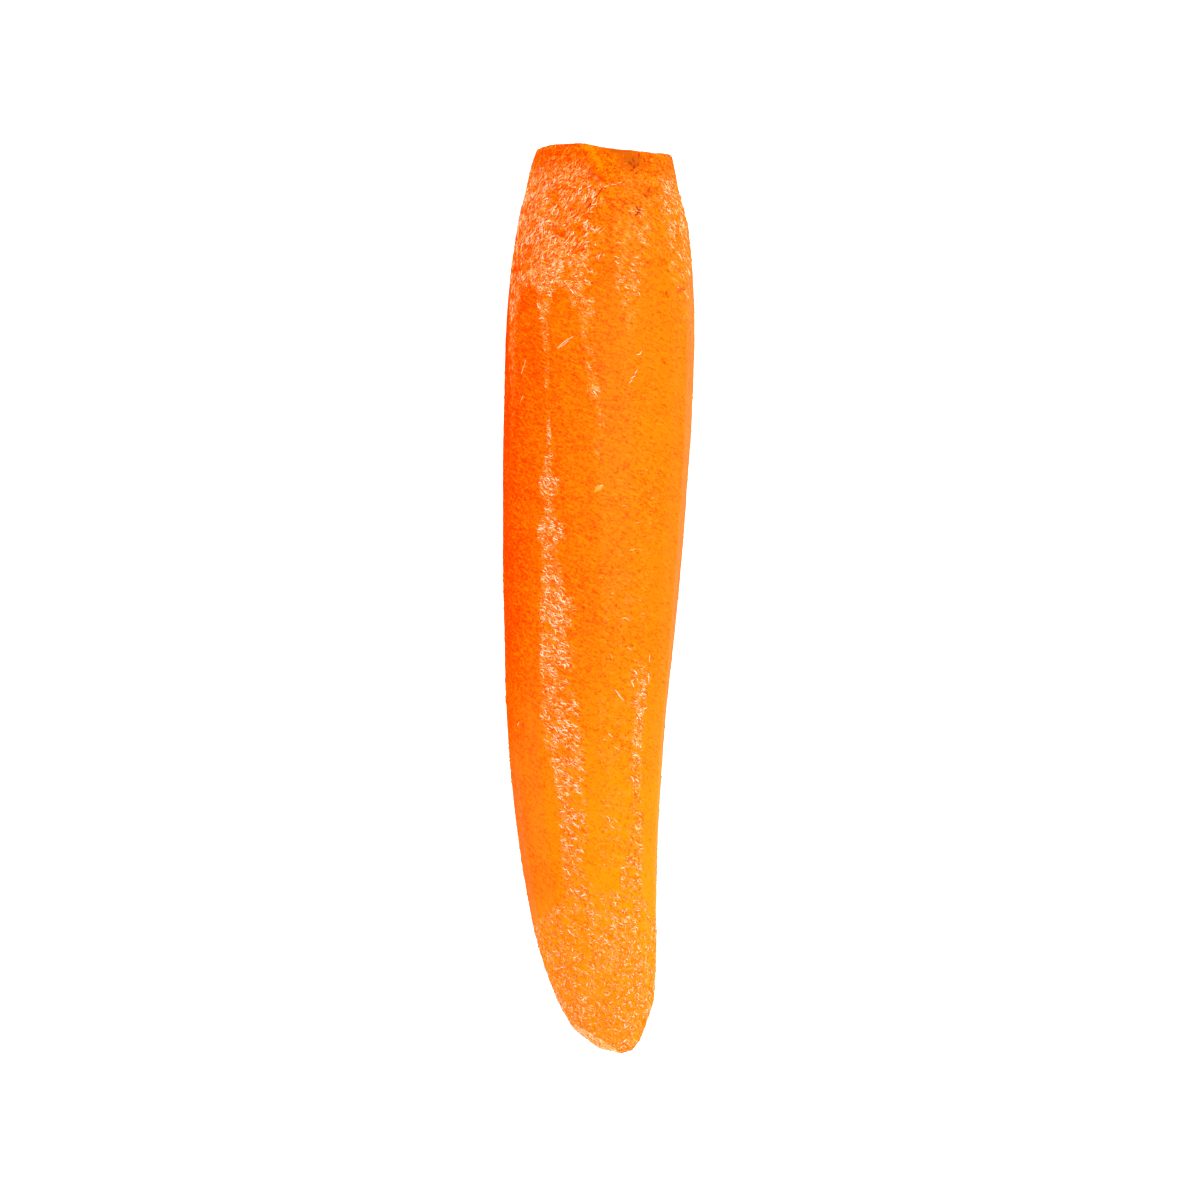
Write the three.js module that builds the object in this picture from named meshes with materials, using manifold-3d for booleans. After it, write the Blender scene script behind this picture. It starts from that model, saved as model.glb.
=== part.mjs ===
// A peeled carrot with its crown sliced off, lying on its side as it rests on a table.
// One solid. Millimetres, +Z up. +Y points to the sliced crown and -Y to the tip.
// The origin is the middle of the underside of the carrot's box.
//
// The root was round, and a peeler took its skin off in long strokes. Each stroke left a flat
// facet, and two neighbouring facets meet in a ridge that still lies on the round root. So the
// solid is a lofted polygon whose corners are those ridges, and its lowest facet is the flat
// that the carrot lies on.
import * as THREE from "three";
import { mergeVertices } from "three/addons/utils/BufferGeometryUtils.js";
import Module from "manifold-3d";

// Driving dimensions
const rootLength = 170.4; // from the crown slice to the round tip, before the tip is trimmed
const bodyWidth = 35.8; // across the thickest stretch
const crownSliceWidth = 25.8; // across the sliced face
const crownSliceTilt = 3.8; // degrees that the knife was off square
const crownTiltReach = 24; // length over which the rows turn square again
const shoulderLength = 37; // from the slice to the full width
const taperStart = 45; // from the slice to where the root starts to thin
const taperLoss = 8.6; // radius lost by the tip
const taperPower = 1.6;
const tipRounding = 30; // length that the blunt tip rounds off over
const tipPower = 3.6;
const restHalfAngle = 17; // degrees each side of straight down that the resting facet covers
const facetCrowning = 0.18; // share of the way from a flat facet back to the round root

// How far the root leans sideways (+X), at shares of the way from the slice to the tip
const lean = [
  { share: 0, sideways: 0.9 },
  { share: 0.26, sideways: -0.2 },
  { share: 0.5, sideways: -1.7 },
  { share: 0.67, sideways: -2.6 },
  { share: 0.84, sideways: -1.3 },
  { share: 1, sideways: 2.7 },
];

// Ridges between the peeler's strokes, clockwise round the root as seen from the crown,
// in degrees from straight up towards +X. They drift evenly from the crown to the tip.
const ridges = [
  { name: "left of the rough strip", crown: -42, tip: -31 },
  { name: "right of the rough strip", crown: -36, tip: 6 },
  { name: "top", crown: -17, tip: 33 },
  { name: "upper right", crown: 5, tip: 58 },
  { name: "faint right", crown: 40, tip: 69 },
  { name: "right shoulder", crown: 63, tip: 73 },
  { name: "right side", crown: 98, tip: 104 },
  { name: "lower right", crown: 130, tip: 131 },
  { name: "resting facet, right", crown: 180 - restHalfAngle, tip: 180 - restHalfAngle },
  { name: "resting facet, left", crown: 180 + restHalfAngle, tip: 180 + restHalfAngle },
  { name: "lower left", crown: 220, tip: 221 },
  { name: "left side, low", crown: 245, tip: 243 },
  { name: "left side, high", crown: 270, tip: 268 },
  { name: "left shoulder", crown: 297, tip: 298 },
];
const restingFacet = 8; // the facet that starts at the ridge "resting facet, right"

// Flats that a knife left at the tip: the way each faces, and how deep it bites
const tipTrims = [
  { facing: new THREE.Vector3(-0.6, -0.79, 0.1), bite: 0.9 },
  { facing: new THREE.Vector3(0.28, -0.95, -0.08), bite: 0.8 },
];

// Fineness of the mesh
const rowsAlong = 54;
const rowEasing = 0.75; // from 0, even rows, to 1, rows that crowd towards both ends
const pointsPerFacet = 3;
const weldDistance = 1e-4;

const radians = THREE.MathUtils.degToRad;

// Radius of the tapering root, with neither its shoulder nor its tip rounded off.
function taperRadius(along) {
  const share = Math.max(0, along - taperStart) / (rootLength - taperStart);
  return bodyWidth / 2 - taperLoss * share ** taperPower;
}

// Share of the taper's radius that the shoulder and the blunt tip leave.
function rounding(along) {
  const short = Math.max(0, 1 - along / shoulderLength);
  const shoulder = 1 - (1 - crownSliceWidth / bodyWidth) * short ** 2;
  const past = Math.max(0, along - (rootLength - tipRounding)) / tipRounding;
  return shoulder * Math.sqrt(Math.max(0, 1 - past ** tipPower));
}

const leanCurve = new THREE.CubicInterpolant(
  lean.map((point) => point.share),
  lean.map((point) => point.sideways),
  1,
);

// Sideways lean of the root's middle line at a distance from the slice.
function leanAt(along) {
  return leanCurve.evaluate(along / rootLength)[0];
}

// Centre of a section. It is as high as puts the resting facet on the table.
function centreAt(along) {
  return new THREE.Vector3(leanAt(along), 0, taperRadius(along) * Math.cos(radians(restHalfAngle)));
}

// Where a ridge crosses the section at a distance from the slice, from the section's centre.
function ridgePoint(ridge, along) {
  const angle = radians(THREE.MathUtils.lerp(ridge.crown, ridge.tip, along / rootLength));
  const radius = taperRadius(along) * rounding(along);
  return new THREE.Vector2(Math.sin(angle), Math.cos(angle)).multiplyScalar(radius);
}

// A point of a facet, a share of the way from one ridge to the next.
function facetPoint(facet, share, along) {
  const from = ridgePoint(ridges[facet], along);
  const to = ridgePoint(ridges[(facet + 1) % ridges.length], along);
  const flat = from.clone().lerp(to, share);
  if (share === 0 || facet === restingFacet) return flat;
  const round = flat.clone().setLength(from.length());
  return flat.lerp(round, facetCrowning);
}

// Distances of the rows from the slice, closer together at both ends.
function rowDistances() {
  const rows = [];
  for (let row = 0; row <= rowsAlong; row++) {
    const even = row / rowsAlong;
    const eased = (1 - Math.cos(Math.PI * even)) / 2;
    rows.push(rootLength * THREE.MathUtils.lerp(even, eased, rowEasing));
  }
  return rows;
}

// The peeled root: a lathe whose columns are moved onto the facets.
function peeledRoot() {
  const rows = rowDistances();
  const profile = rows.map((along) => new THREE.Vector2(taperRadius(along) * rounding(along), -along));
  profile.unshift(new THREE.Vector2(0, 0)); // middle of the crown slice
  profile.reverse(); // from the tip up, so that the faces point outwards
  const columns = ridges.length * pointsPerFacet;
  const root = new THREE.LatheGeometry(profile, columns);
  const position = root.getAttribute("position");
  const slope = Math.tan(radians(crownSliceTilt));
  for (let index = 0; index < position.count; index++) {
    const column = Math.floor(index / profile.length) % columns;
    const point = profile[index % profile.length];
    const along = -point.y;
    const section = new THREE.Vector2(0, 0);
    if (point.x > 0) {
      const facet = Math.floor(column / pointsPerFacet);
      section.copy(facetPoint(facet, (column % pointsPerFacet) / pointsPerFacet, along));
    }
    const centre = centreAt(along);
    const skew = slope * section.x * Math.max(0, 1 - along / crownTiltReach);
    position.setXYZ(index, centre.x + section.x, point.y - skew, centre.z + section.y);
  }
  return root;
}

const wasm = await Module();
wasm.setup();

function toSolid(geometry) {
  const bare = new THREE.BufferGeometry();
  bare.setAttribute("position", geometry.getAttribute("position"));
  bare.setIndex(geometry.getIndex());
  const merged = mergeVertices(bare, weldDistance);
  return new wasm.Manifold(
    new wasm.Mesh({
      numProp: 3,
      vertProperties: merged.getAttribute("position").array,
      triVerts: new Uint32Array(merged.getIndex().array),
    }),
  );
}

function toGeometry(solid) {
  const mesh = solid.getMesh();
  const geometry = new THREE.BufferGeometry();
  geometry.setAttribute("position", new THREE.BufferAttribute(mesh.vertProperties, 3));
  geometry.setIndex(new THREE.BufferAttribute(mesh.triVerts, 1));
  return geometry;
}

// How far a geometry reaches in a direction.
function reach(geometry, direction) {
  const position = geometry.getAttribute("position");
  const point = new THREE.Vector3();
  let furthest = -Infinity;
  for (let index = 0; index < position.count; index++) {
    furthest = Math.max(furthest, point.fromBufferAttribute(position, index).dot(direction));
  }
  return furthest;
}

// The waste that one flat knife cut takes off: a block whose face is the cut.
function trimBlock(geometry, trim) {
  const facing = trim.facing.clone().normalize();
  const side = 2 * bodyWidth; // wide enough to clear the whole tip
  const block = new THREE.BoxGeometry(side, side, side);
  const cutFace = facing.clone().multiplyScalar(reach(geometry, facing) - trim.bite);
  const across = centreAt(rootLength).setY(-rootLength);
  const onFace = across.addScaledVector(facing, cutFace.dot(facing) - across.dot(facing));
  const middle = onFace.addScaledVector(facing, side / 2);
  const turn = new THREE.Quaternion().setFromUnitVectors(new THREE.Vector3(0, 0, 1), facing);
  return block.applyQuaternion(turn).translate(middle.x, middle.y, middle.z);
}

function carrotGeometry() {
  const untrimmed = peeledRoot();
  let solid = toSolid(untrimmed);
  for (const trim of tipTrims) {
    solid = solid.subtract(toSolid(trimBlock(untrimmed, trim)));
  }
  const geometry = toGeometry(solid);
  geometry.computeBoundingBox();
  const box = geometry.boundingBox;
  const middle = box.getCenter(new THREE.Vector3());
  geometry.translate(-middle.x, -middle.y, -box.min.z);
  geometry.computeVertexNormals();
  return geometry;
}

const flesh = new THREE.MeshStandardMaterial({ color: 0xf57a12, roughness: 0.55, metalness: 0 });
const carrot = new THREE.Mesh(carrotGeometry(), flesh);
carrot.name = "carrot";

const group = new THREE.Group();
group.add(carrot);
export default group;
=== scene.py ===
import math

import bmesh
import bpy
import numpy as np
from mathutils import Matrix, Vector, noise
from mathutils.bvhtree import BVHTree


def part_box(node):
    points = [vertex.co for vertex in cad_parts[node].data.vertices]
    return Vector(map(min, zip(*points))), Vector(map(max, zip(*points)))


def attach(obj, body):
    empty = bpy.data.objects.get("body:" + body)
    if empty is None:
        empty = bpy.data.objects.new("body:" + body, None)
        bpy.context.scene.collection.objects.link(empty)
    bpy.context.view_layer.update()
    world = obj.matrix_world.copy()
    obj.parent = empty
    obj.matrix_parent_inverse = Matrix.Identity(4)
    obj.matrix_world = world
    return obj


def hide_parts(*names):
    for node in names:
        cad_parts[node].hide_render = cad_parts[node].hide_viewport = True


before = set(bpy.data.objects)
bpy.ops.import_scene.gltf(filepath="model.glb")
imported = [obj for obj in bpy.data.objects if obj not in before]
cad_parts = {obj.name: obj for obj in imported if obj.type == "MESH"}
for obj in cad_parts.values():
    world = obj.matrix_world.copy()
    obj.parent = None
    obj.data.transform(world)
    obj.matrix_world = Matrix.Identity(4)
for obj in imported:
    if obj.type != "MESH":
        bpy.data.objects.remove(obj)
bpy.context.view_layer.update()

MM = 0.001

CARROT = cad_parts["carrot"]
LOW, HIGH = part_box("carrot")
CAD_SKIN = BVHTree.FromObject(CARROT, bpy.context.evaluated_depsgraph_get())
CAD_POINTS = np.array([vertex.co for vertex in CARROT.data.vertices])

# ---------------------------------------------------------------- the peeled root's form

# The ridges between the peeler's strokes: the turn at the crown, the turn at the tip, and how
# crisp each one is.
RIDGES = [
    ("left of the rough strip", -42, -31, 0.52),
    ("right of the rough strip", -36, 6, 0.4),
    ("top", -17, 33, 0.45),
    ("upper right", 5, 58, 0.45),
    ("faint right", 40, 69, 0.3),
    ("right shoulder", 63, 73, 0.68),
    ("right side", 98, 104, 0.6),
    ("lower right", 130, 131, 0.5),
    ("resting facet, right", 163, 163, 0.62),
    ("resting facet, left", 197, 197, 0.62),
    ("lower left", 220, 221, 0.5),
    ("left side, low", 245, 243, 0.45),
    ("left side, high", 270, 268, 0.42),
    ("left shoulder", 297, 298, 0.5),
]
RIM_CRISPNESS = 0.62
SIDE_SPANS = 20  # rows of faces between the crown and the blunt end of the tip
TIP_RINGS = (11.5, 6.5, 3.0, 0.9)  # mm short of the tip
FULLNESS = 1.011  # makes up for what smoothing takes off the ridges
RIM_FULLNESS = 1.025  # and off the rim of the slice
TILT_REACH = 24 * MM  # over which the rows of the root turn square to it, after a tilted slice
SMOOTHINGS = 4
TIP_BULGE = 3.2 * MM  # how far past the tip the middle corner lies before smoothing
TIP_SPREADS = (1.05, 1.28, 2.5)  # fill out the last three rings, which the knife's flats then trim
TIP_REACH = 2.6 * MM  # how far the last ring moves on towards the tip
# Flats that a knife left at the tip: a place on each, the way it faces, and how torn it is
TIP_FLATS = [
    (Vector((-1.0, -83.3, 9.3)) * MM, Vector((-0.54, -0.83, 0.16)).normalized(), 1),
    (Vector((4.8, -84.9, 9.0)) * MM, Vector((0.24, -0.97, -0.05)).normalized(), 0.3),
    (Vector((7.9, -82.9, 9.0)) * MM, Vector((0.94, -0.34, 0.0)).normalized(), 0),
    (Vector((7.2, -83.8, 9.0)) * MM, Vector((0.76, -0.65, 0.0)).normalized(), 0.2),
]
SLICE_MARGIN = 0.2 * MM  # how far inside the slice its rim is measured
END_MARGIN = 3 * MM  # how far inside the crown's end the root's middle is still measured
ABOVE_SLICE = 10 * MM  # how far outside the crown's end the slice is looked for from
WINDOW = 2.5 * MM  # half the length of root that gives a first guess at its middle
INNER_RING = 0.55  # size of the slice's inner ring of corners, as a share of its rim


def section_middle(y):
    """Middle of the root's section at y, halfway between its sides and between top and bottom."""
    near = CAD_POINTS[np.abs(CAD_POINTS[:, 1] - y) < WINDOW].mean(axis=0)
    start = Vector((near[0], y, near[2]))
    ways = (Vector((-1, 0, 0)), Vector((1, 0, 0)), Vector((0, 0, -1)), Vector((0, 0, 1)))
    ends = [CAD_SKIN.ray_cast(start, way)[0] for way in ways]
    return Vector(((ends[0].x + ends[1].x) / 2, y, (ends[2].z + ends[3].z) / 2))


def slice_plane():
    """Where the crown slice crosses the root's middle line, and its slope towards +X."""
    middle = section_middle(HIGH.y - END_MARGIN)
    above = Vector((middle.x, HIGH.y + ABOVE_SLICE, middle.z))
    place, facing, _, _ = CAD_SKIN.ray_cast(above, Vector((0, -1, 0)))
    return place.y, facing.x / facing.y, middle


SLICE_Y, SLICE_SLOPE, SLICE_MIDDLE = slice_plane()
LENGTH = SLICE_Y - LOW.y


def ring_distances():
    """How far each ring of corners lies from the crown slice."""
    last_even = LENGTH - TIP_RINGS[0] * MM
    even = [last_even * step / SIDE_SPANS for step in range(SIDE_SPANS)]
    return even + [LENGTH - short * MM for short in TIP_RINGS]


def ring_middle(distance):
    return section_middle(min(SLICE_Y - distance, HIGH.y - END_MARGIN))


def ring_corners(distance):
    """The corners of a ring, one on each ridge, where they meet the skin of the frame's carrot."""
    middle = ring_middle(distance)
    slope = SLICE_SLOPE * max(0, 1 - distance / TILT_REACH)
    inward = max(0, SLICE_MARGIN - distance)
    start = Vector((middle.x, SLICE_Y - distance - inward, middle.z))
    corners = []
    for _, crown, tip, _ in RIDGES:
        turn = math.radians(crown + (tip - crown) * distance / LENGTH)
        outward = Vector((math.sin(turn), -slope * math.sin(turn), math.cos(turn)))
        reach = CAD_SKIN.ray_cast(start, outward)[0] - start
        corners.append(start + reach * FULLNESS + Vector((0, inward, 0)))
    return corners


def root_rings():
    """All rings, pushed out a little where smoothing would pull them in."""
    rings = [np.array(ring_corners(distance)) for distance in ring_distances()]
    fuller = list(rings)
    for row in range(1, len(rings) - 1):
        bend = rings[row - 1] - 2 * rings[row] + rings[row + 1]
        fuller[row] = rings[row] - bend / 6  # smoothing moves a corner by a sixth of the bend
    first_middle = rings[0].mean(axis=0)
    fuller[0] = first_middle + (rings[0] - first_middle) * RIM_FULLNESS
    for row, spread in zip((-3, -2, -1), TIP_SPREADS):
        middle = rings[row].mean(axis=0)
        fuller[row] = middle + (rings[row] - middle) * spread
    fuller[-1] = fuller[-1] - (0, TIP_REACH, 0)
    return fuller


def start_fresh():
    if bpy.context.object and bpy.context.object.mode != "OBJECT":
        bpy.ops.object.mode_set(mode="OBJECT")
    bpy.ops.object.select_all(action="DESELECT")


def place_new_ring(mesh, row, corners):
    """Moves the corners that are selected onto the ring's places, and numbers their row."""
    shape = bmesh.from_edit_mesh(mesh)
    ridge, row_number = (shape.verts.layers.int[name] for name in ("ridge", "row"))
    for vertex in shape.verts:
        if vertex.select:
            vertex.co = corners[vertex[ridge]]
            vertex[row_number] = row
    bmesh.update_edit_mesh(mesh)


def close_end(mesh, row, y):
    """Closes the selected ring at a middle corner, which lies at y."""
    bpy.ops.mesh.edge_face_add()
    bpy.ops.mesh.poke()
    shape = bmesh.from_edit_mesh(mesh)
    row_number = shape.verts.layers.int["row"]
    shape.verts.ensure_lookup_table()
    middle = shape.verts[-1]
    middle.co.y = y
    middle[row_number] = row
    bmesh.update_edit_mesh(mesh)


def select_row(mesh, row):
    shape = bmesh.from_edit_mesh(mesh)
    row_number = shape.verts.layers.int["row"]
    bpy.ops.mesh.select_all(action="DESELECT")
    for edge in shape.edges:
        edge.select = all(vertex[row_number] == row for vertex in edge.verts)
    shape.select_flush(True)
    bmesh.update_edit_mesh(mesh)


def crease_ridges(mesh, last_row):
    """Creases the ridges and the rim of the slice, and marks the faces of the slice."""
    shape = bmesh.from_edit_mesh(mesh)
    ridge, row_number = (shape.verts.layers.int[name] for name in ("ridge", "row"))
    crease = shape.edges.layers.float.new("crease_edge")
    for edge in shape.edges:
        a, b = edge.verts
        rows = sorted((a[row_number], b[row_number]))
        if rows == [0, 0]:
            edge[crease] = RIM_CRISPNESS
        elif a[ridge] == b[ridge] and 0 < rows[0] and rows[1] < last_row:
            edge[crease] = RIDGES[a[ridge]][3]
    for face in shape.faces:
        face.material_index = int(all(vertex[row_number] <= 0 for vertex in face.verts))
    bmesh.update_edit_mesh(mesh)


def put_in_order(mesh):
    """Writes the mesh again with its faces in a settled order, so that each run smooths it alike."""
    numbers = {name: [item.value for item in mesh.attributes[name].data] for name in ("ridge", "row")}
    places = [vertex.co.copy() for vertex in mesh.vertices]
    faces = []
    for face in mesh.polygons:
        corners = list(face.vertices)
        first = corners.index(min(corners))
        faces.append(corners[first:] + corners[:first])
    mesh.clear_geometry()
    mesh.from_pydata(places, [], sorted(faces))
    for name, values in numbers.items():
        mesh.attributes.new(name, "INT", "POINT").data.foreach_set("value", values)


def model_root():
    """The peeled root: a ring drawn out along the ridges, closed at both ends and smoothed."""
    start_fresh()
    rings = root_rings()
    bpy.ops.mesh.primitive_circle_add(vertices=len(RIDGES), radius=SLICE_MIDDLE.z, fill_type="NOTHING")
    root = bpy.context.object
    root.name = root.data.name = "peeled_root"
    bpy.ops.object.mode_set(mode="EDIT")
    bpy.ops.mesh.select_mode(type="VERT")
    shape = bmesh.from_edit_mesh(root.data)
    shape.verts.layers.int.new("ridge")
    shape.verts.layers.int.new("row")
    ridge = shape.verts.layers.int["ridge"]
    for number, vertex in enumerate(shape.verts):
        vertex[ridge] = number
    bmesh.update_edit_mesh(root.data)
    bpy.ops.mesh.select_all(action="SELECT")
    place_new_ring(root.data, 0, rings[0])
    for row, corners in enumerate(rings[1:], 1):
        bpy.ops.mesh.extrude_edges_move()
        place_new_ring(root.data, row, corners)
    close_end(root.data, len(rings), LOW.y - TIP_BULGE)
    select_row(root.data, 0)
    bpy.ops.mesh.extrude_edges_move()
    place_new_ring(root.data, -1, rings[0])
    bpy.ops.transform.resize(value=(INNER_RING, INNER_RING, INNER_RING))
    close_end(root.data, -1, SLICE_Y)
    bpy.ops.mesh.select_all(action="SELECT")
    bpy.ops.mesh.normals_make_consistent(inside=False)
    bpy.ops.object.mode_set(mode="OBJECT")
    put_in_order(root.data)
    bpy.ops.object.mode_set(mode="EDIT")
    crease_ridges(root.data, len(rings))
    bpy.ops.object.mode_set(mode="OBJECT")
    smoothing = root.modifiers.new("smoothing", "SUBSURF")
    smoothing.levels = smoothing.render_levels = SMOOTHINGS
    bpy.ops.object.modifier_apply(modifier=smoothing.name)
    bpy.ops.object.shade_smooth()
    return root


# ---------------------------------------------------------------- the skin, by along and turn

SKIN_RADIUS = 16  # mm, of the round root that the skin is unrolled from


def skin_measures(points):
    """Along in mm, turn in degrees and radius in mm, of points in metres."""
    rings_y = SLICE_Y - np.array(ring_distances())[::-1]
    middles = np.array([ring_middle(distance) for distance in ring_distances()])[::-1]
    sideways = points[:, 0] - np.interp(points[:, 1], rings_y, middles[:, 0])
    up = points[:, 2] - np.interp(points[:, 1], rings_y, middles[:, 2])
    depth = SLICE_Y - points[:, 1]
    tilt = SLICE_SLOPE * sideways * np.maximum(0, 1 - depth / TILT_REACH)
    along = (depth - tilt) / MM
    turn = np.degrees(np.arctan2(sideways, up))
    return along, turn, np.hypot(sideways, up) / MM


def unrolled(along, turn):
    """The skin laid flat, in mm: round the root, and along it."""
    return np.stack([np.radians(turn) * SKIN_RADIUS, along], axis=1)


def unevenness(flat, run, across, slant, seed):
    """Smooth noise from -1 to 1 in patches that run along a slant, on the unrolled skin."""
    lean = math.radians(slant)
    along_patch = (flat[:, 0] * math.cos(lean) - flat[:, 1] * math.sin(lean)) / run
    across_patch = (flat[:, 0] * math.sin(lean) + flat[:, 1] * math.cos(lean)) / across
    return np.array([noise.noise((a, b, seed)) for a, b in zip(along_patch, across_patch)])


def eased(value, low, high):
    """0 at low and below, 1 at high and above, with a smooth rise between."""
    share = np.clip((value - low) / (high - low), 0, 1)
    return share * share * (3 - 2 * share)


def turn_between(turn, other):
    return np.abs((turn - other + 180) % 360 - 180)


# Scuffed bands, where the flesh has dried to pale curls. Each has the slant of its curls in
# degrees, rising towards +X, and the points that it runs through: along, turn, half its width in
# mm, and how thick the curls lie.
SCUFFED_BANDS = {
    "left shoulder": (52, [
        (1, -60, 8.0, 0.5), (3.5, -59, 10.5, 0.7), (7, -58, 11.8, 0.9), (14, -58, 13.0, 0.95),
        (19, -57, 13.4, 0.95), (23, -54, 12.5, 0.9), (25, -50, 10, 0.75),
    ]),
    "left silhouette": (78, [
        (15, -76, 3.4, 0.7), (24, -73, 3.2, 0.75), (32, -71, 2.6, 0.5), (42, -68, 2.0, 0.3),
        (54, -66, 1.2, 0.12),
    ]),
    "fleck line": (-30, [
        (22, -43, 3.0, 0.85), (27, -38, 1.6, 0.8), (32, -36, 0.8, 0.8), (40, -33.3, 0.3, 0.8),
        (45, -33, 0.3, 0.8), (46.5, -33, 0.2, 0.1), (50, -32, 0.2, 0.25), (52, -31, 0.3, 0.8),
        (58, -30, 0.45, 0.8), (61, -31, 0.7, 0.8),
    ]),
    "second fleck line": (-35, [
        (21, -22, 3.2, 0.9), (26, -17, 2.4, 0.85), (30, -11, 1.8, 0.75), (34, -8, 1.0, 0.65),
        (39, -6, 0.7, 0.5), (44, -4, 0.5, 0.5), (46, -3, 1.0, 0.75), (48, 0, 0.3, 0.3),
        (51, 3, 0.8, 0.5), (56, 1, 0.6, 0.4), (60, 1, 0.3, 0.2),
    ]),
    "rough strip": (-28, [
        (61, -31, 0.5, 0.4), (62.3, -30, 1.5, 0.95), (64.5, -29.5, 1.8, 0.95), (66.2, -30, 0.7, 0.55),
        (69.3, -29, 0.9, 0.5), (71, -28, 2.2, 0.95), (73.2, -28, 2.3, 0.95), (75, -28, 1.3, 0.6),
        (79, -27, 1.5, 0.75), (81, -26, 2.0, 0.95), (83, -26, 1.9, 0.8), (86, -22, 3.3, 0.95),
        (91, -24, 2.4, 0.95), (96, -22, 2.9, 0.95), (101, -23, 2.3, 0.95), (105, -19, 3.4, 0.95),
        (110, -18, 3.1, 0.95), (115, -15, 2.8, 0.95), (118, -13, 2.5, 0.9), (121, -12, 2.4, 0.75),
        (127, -11, 2.2, 0.75), (133, -14, 1.8, 0.6), (140, -12, 2.4, 0.55),
    ]),
    "right shoulder, inner": (-26, [
        (12, 20, 2.2, 0.25), (18, 20, 3.2, 0.5), (24, 18, 2.4, 0.6), (30, 18, 1.6, 0.45),
        (36, 20, 0.8, 0.15),
    ]),
    "right shoulder, outer": (-35, [
        (1, 64, 2.5, 0.3), (8, 72, 5.5, 0.6), (16, 76, 7.0, 0.7), (22, 74, 6.0, 0.65),
        (26, 66, 3.2, 0.6), (30, 68, 2.2, 0.4), (40, 70, 1.2, 0.15),
    ]),
    "between the shoulders": (-20, [
        (3, 35, 4, 0.2), (8, 42, 6, 0.28), (15, 42, 5, 0.3), (21, 38, 3, 0.2),
    ]),
    "third band": (-30, [
        (95.5, 37, 0.6, 0.4), (98, 40, 1.8, 0.7), (103, 40, 1.8, 0.65), (107, 41, 1.0, 0.7),
        (114, 42, 0.9, 0.65), (122, 43, 0.8, 0.6), (127, 45, 1.1, 0.75), (131, 44, 1.6, 0.75),
        (135, 41, 2.0, 0.7), (139, 38, 2.7, 0.6), (143, 34, 4.0, 0.55),
    ]),
    "mottled flesh": (-20, [
        (45, 27, 4.5, 0.14), (60, 27, 5.5, 0.16), (75, 26, 5.5, 0.16), (84, 24, 4, 0.24),
        (95, 25, 4, 0.18), (105, 25, 4, 0.24), (118, 26, 3.6, 0.28), (128, 26, 3.2, 0.28),
        (135, 20, 3, 0.22),
    ]),
    "tip": (-25, [
        (140, 12, 6, 0.4), (144, 10, 12, 0.65), (149, 6, 24, 0.85), (158, 0, 50, 0.9),
        (171, 0, 50, 0.9),
    ]),
    "left side, low": (30, [
        (0, -122, 4, 0.5), (15, -124, 6, 0.7), (28, -121, 3, 0.5), (55, -118, 1.5, 0.4),
        (85, -116, 3.4, 0.85), (118, -117, 2.8, 0.75), (145, -117, 5, 0.6),
    ]),
    "lower right": (-30, [
        (0, 128, 3, 0.4), (18, 130, 3.2, 0.6), (45, 131, 1.6, 0.5), (80, 131, 3.4, 0.85),
        (105, 130, 2.4, 0.7), (140, 130, 4, 0.6),
    ]),
    "right side": (-30, [
        (26, 99, 1.0, 0.3), (60, 101, 0.5, 0.4), (100, 102, 0.4, 0.35), (140, 104, 2, 0.35),
    ]),
    "left side, high": (60, [
        (28, -91, 0.6, 0.3), (70, -91, 0.35, 0.3), (110, -91, 0.4, 0.35), (142, -92, 1.2, 0.5),
    ]),
}
SHARP_EDGE = "rough strip"  # its left edge follows a ridge, and its right edge is ragged
TIP_STARTS = (138, 150)  # mm along, over which the bands turn into the roughness of the tip


def band_cover(name, points, flat, along, turn, radius):
    """How thickly a band's curls lie at each place, from 0 to 1."""
    alongs, turns, halves, thick = np.array(points).T
    middle = np.interp(along, alongs, turns)
    half = np.interp(along, alongs, halves)
    offset = (turn - middle + 180) % 360 - 180
    across = np.radians(np.abs(offset)) * radius
    beyond = np.maximum(np.maximum(alongs[0] - along, along - alongs[-1]), 0)
    ragged = unevenness(flat, 2.2, 0.9, -28, len(name)) * (0.35 + 0.35 * half)
    if name == SHARP_EDGE:
        ragged = ragged * (offset > 0)
    outside = np.hypot(np.maximum(across - half + ragged, 0), beyond)
    return np.interp(along, alongs, thick) * (1 - eased(outside, 0, 0.2 + 0.3 * half))


def scuffing(along, turn, radius):
    """How thickly curls lie at each place, and the slant that they lie at."""
    flat = unrolled(along, turn)
    bare, slant_sum, weight_sum = 1, 0, 1e-6
    for name, (slant, points) in SCUFFED_BANDS.items():
        cover = band_cover(name, points, flat, along, turn, radius)
        bare = bare * (1 - cover)
        slant_sum = slant_sum + slant * cover ** 2
        weight_sum = weight_sum + cover ** 2
    clumps = (1.3 - 0.7 * eased(along, *TIP_STARTS)) * unevenness(flat, 2.4, 1.4, -28, 3.1)
    clumps += 0.5 * unevenness(flat, 8, 6, 20, 5.7)
    scuff = (1 - bare) * np.clip(0.75 + clumps, 0.08, 1)
    return np.clip(scuff, 0, 1), slant_sum / weight_sum


# ---------------------------------------------------------------- relief of the skin

# Lumps and pits: along, turn, how wide in mm, how high in mm
LUMPS = [
    (13.0, -47.2, 0.95, 0.40),
    (2.8, 41.9, 0.9, 0.32),
    (2.7, -8.2, 1.3, 0.22),
    (4.7, -4.5, 1.2, 0.22),
    (64.2, 2.4, 0.9, 0.22),
    (27.5, 58.7, 0.8, -0.40),
    (11.5, -8.6, 0.6, -0.22),
    (9.6, -4.6, 0.6, -0.22),
    (12.5, 26.9, 0.6, -0.25),
    (4.2, 25.3, 0.8, -0.25),
]


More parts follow.
